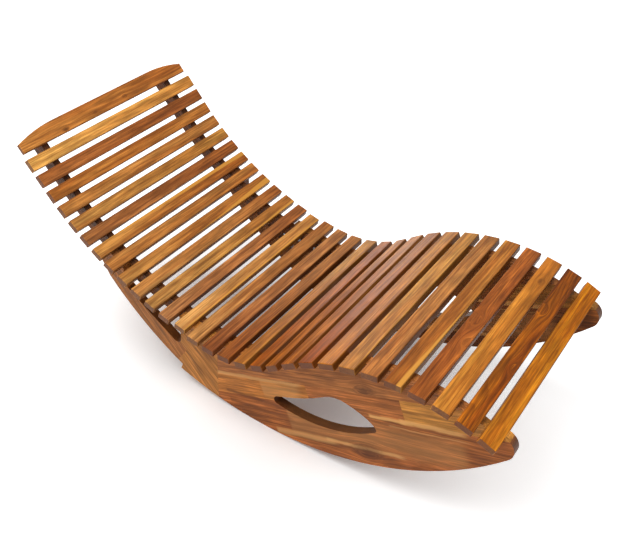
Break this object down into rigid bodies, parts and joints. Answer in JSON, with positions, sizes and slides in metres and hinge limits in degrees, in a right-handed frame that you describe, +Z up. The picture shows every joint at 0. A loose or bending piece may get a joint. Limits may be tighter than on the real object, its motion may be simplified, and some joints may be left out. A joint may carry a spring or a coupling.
{
  "type": "rocking chaise lounge",
  "caption": "Free-standing rocking chaise lounge of oiled wood: curved slatted seat and back on two flat panel rockers with hand holes.",
  "frame": {"origin": "middle of the footprint, on the floor plane", "axes": "+X towards the feet, +Y towards the sitter's left, +Z up"},
  "size_m": [1.351, 0.6, 0.5707],
  "materials": {
    "honey_wood": "oiled, satin",
    "gold_wood": "oiled, satin",
    "amber_wood": "oiled, satin",
    "russet_wood": "oiled, satin",
    "umber_wood": "oiled, satin",
    "zinc": "zinc plated"
  },
  "bodies": {
    "root": {"head_board": "amber_wood", "left_arm_board": "amber_wood", "left_back_rail": "umber_wood", "left_insert_nut_1": "zinc", "left_insert_nut_2": "zinc", "left_insert_nut_3": "zinc", "left_insert_nut_4": "zinc", "left_middle_board": "amber_wood", "left_rail_bolt_1": "zinc", "left_rail_bolt_2": "zinc", "left_rail_bolt_3": "zinc", "left_rail_bolt_4": "zinc", "left_rear_seat_board": "gold_wood", "left_rocker_board": "russet_wood", "left_upper_board": "russet_wood", "right_arm_board": "amber_wood", "right_back_rail": "umber_wood", "right_insert_nut_1": "zinc", "right_insert_nut_2": "zinc", "right_insert_nut_3": "zinc", "right_insert_nut_4": "zinc", "right_middle_board": "amber_wood", "right_rail_bolt_1": "zinc", "right_rail_bolt_2": "zinc", "right_rail_bolt_3": "zinc", "right_rail_bolt_4": "zinc", "right_rear_seat_board": "gold_wood", "right_rocker_board": "russet_wood", "right_upper_board": "russet_wood", "seat_stretcher": "umber_wood", "slat_02": "honey_wood", "slat_03": "russet_wood", "slat_04": "amber_wood", "slat_05": "amber_wood", "slat_06": "gold_wood", "slat_07": "russet_wood", "slat_08": "gold_wood", "slat_09": "amber_wood", "slat_10": "gold_wood", "slat_11": "amber_wood", "slat_12": "gold_wood", "slat_13": "russet_wood", "slat_14": "honey_wood", "slat_15": "amber_wood", "slat_16": "russet_wood", "slat_17": "amber_wood", "slat_18": "gold_wood", "slat_19": "amber_wood", "slat_20": "amber_wood", "slat_21": "amber_wood", "slat_22": "amber_wood", "slat_23": "honey_wood", "slat_24": "gold_wood", "slat_25": "amber_wood", "slat_26": "gold_wood", "slat_27": "russet_wood", "slat_28": "gold_wood", "slat_29": "umber_wood", "slat_30": "gold_wood"}
  },
  "joints": []
}
